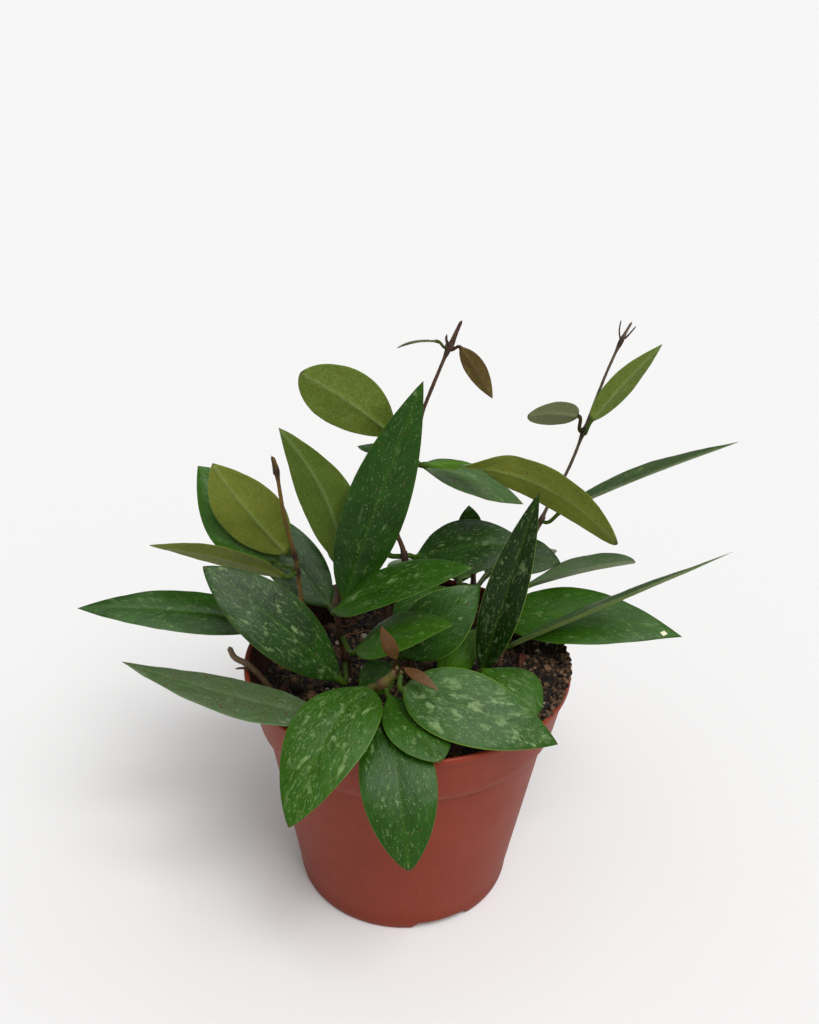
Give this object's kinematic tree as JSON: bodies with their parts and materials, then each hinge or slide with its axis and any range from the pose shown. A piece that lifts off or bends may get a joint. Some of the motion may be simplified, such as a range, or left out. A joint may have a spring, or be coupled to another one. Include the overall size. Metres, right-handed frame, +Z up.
{
  "type": "potted hoya plant",
  "caption": "Young hoya with flecked waxy leaves and climbing vines, rooted in peat in a terracotta-coloured plastic nursery pot.",
  "frame": {"origin": "centre of the pot's foot, on the surface that it stands on", "axes": "+Z up, -Y the front of the plant as pictured, +X its right-hand side"},
  "size_m": [0.23, 0.169, 0.2202],
  "materials": {
    "terracotta_plastic": "satin",
    "peat": "matte",
    "leaf": "satin",
    "young_leaf": "satin",
    "brown_stem": "satin",
    "green_stem": "satin"
  },
  "bodies": {
    "root": {"pot": "terracotta_plastic", "soil": "peat", "left_vine": "brown_stem", "middle_stem": "brown_stem", "centre_vine": "brown_stem", "right_vine": "brown_stem", "inner_stem": "brown_stem", "front_shoot": "green_stem", "side_stem": "brown_stem", "back_stem": "brown_stem", "right_back_stem": "brown_stem", "cut_stem": "brown_stem", "left_vine_leaf_1": "leaf", "left_vine_leaf_2": "leaf", "left_vine_leaf_3": "leaf", "left_vine_leaf_4": "leaf", "middle_stem_leaf_1": "leaf", "middle_stem_leaf_2": "leaf", "middle_stem_leaf_3": "leaf", "middle_stem_leaf_4": "leaf", "middle_stem_leaf_5": "leaf", "middle_stem_leaf_6": "leaf", "centre_vine_leaf_1": "leaf", "centre_vine_leaf_2": "leaf", "centre_vine_leaf_3": "leaf", "centre_vine_leaf_4": "leaf", "centre_vine_leaf_5": "young_leaf", "centre_vine_leaf_6": "young_leaf", "centre_vine_leaf_7": "leaf", "centre_vine_leaf_8": "leaf", "right_vine_leaf_1": "leaf", "right_vine_leaf_2": "leaf", "right_vine_leaf_3": "leaf", "right_vine_leaf_4": "leaf", "right_vine_leaf_5": "young_leaf", "right_vine_leaf_6": "leaf", "inner_stem_leaf_1": "leaf", "inner_stem_leaf_2": "leaf", "inner_stem_leaf_3": "leaf", "inner_stem_leaf_4": "leaf", "front_shoot_leaf_1": "leaf", "front_shoot_leaf_2": "leaf", "front_shoot_leaf_3": "leaf", "front_shoot_leaf_4": "leaf", "front_shoot_leaf_5": "leaf", "front_shoot_leaf_6": "young_leaf", "front_shoot_leaf_7": "young_leaf", "side_stem_leaf_1": "leaf", "side_stem_leaf_2": "leaf", "back_stem_leaf_1": "leaf", "back_stem_leaf_2": "leaf", "back_stem_leaf_3": "leaf", "right_back_stem_leaf_1": "leaf", "right_back_stem_leaf_2": "leaf", "right_back_stem_leaf_3": "leaf", "right_back_stem_leaf_4": "leaf"}
  },
  "joints": []
}
